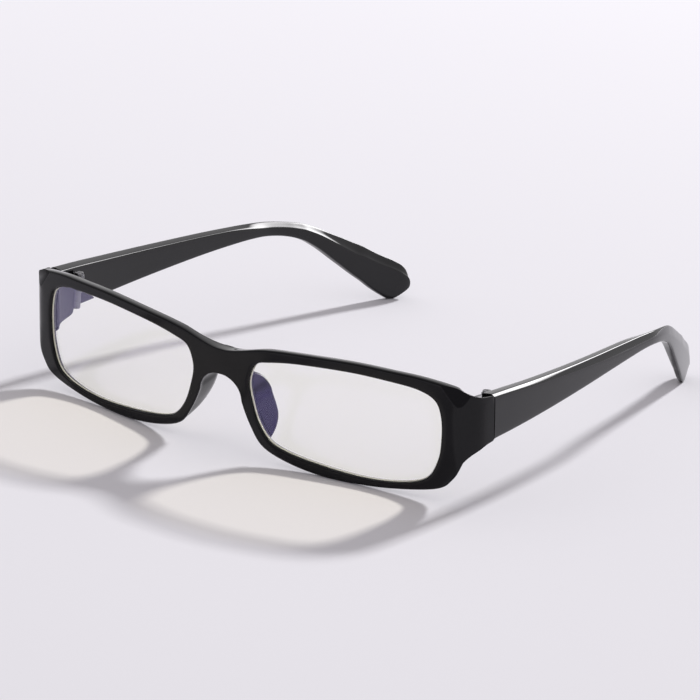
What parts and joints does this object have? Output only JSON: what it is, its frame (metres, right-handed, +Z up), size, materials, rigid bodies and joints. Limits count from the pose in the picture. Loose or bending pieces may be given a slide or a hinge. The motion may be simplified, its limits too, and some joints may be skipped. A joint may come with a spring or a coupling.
{
  "type": "computer glasses",
  "caption": "Full-rim glasses with rounded rectangular clear lenses, wrapped endpieces and two deep temples that fold on metal hinges.",
  "frame": {"origin": "under the middle of the open glasses, on the surface they stand on", "axes": "+Z up, -Y the way the wearer looks, +Y back along the temples, +X the wearer's left; lengths in metres"},
  "size_m": [0.1344, 0.1513, 0.0316],
  "materials": {
    "black_plastic": "polished glossy black",
    "lens": "clear with a faint blue-violet coating",
    "hinge_metal": "satin nickel",
    "screw_metal": "bright nickel"
  },
  "bodies": {
    "front": {"front_frame": "black_plastic", "lens_left": "lens", "lens_right": "lens", "front_hinge_left": "hinge_metal", "front_hinge_right": "hinge_metal", "hinge_screw_left": "screw_metal", "hinge_screw_right": "screw_metal"},
    "temple_left": {"temple_left": "black_plastic", "temple_hinge_left": "hinge_metal"},
    "temple_right": {"temple_right": "black_plastic", "temple_hinge_right": "hinge_metal"}
  },
  "joints": [
    {"name": "temple_left_fold", "type": "hinge", "parent": "front", "child": "temple_left", "pos_m": [0.0616, -0.05051, 0.0215], "axis": [0, 0, 1], "range_deg": [0, 84]},
    {"name": "temple_right_fold", "type": "hinge", "parent": "front", "child": "temple_right", "pos_m": [-0.0616, -0.05051, 0.0215], "axis": [0, 0, -1], "range_deg": [0, 77]}
  ]
}
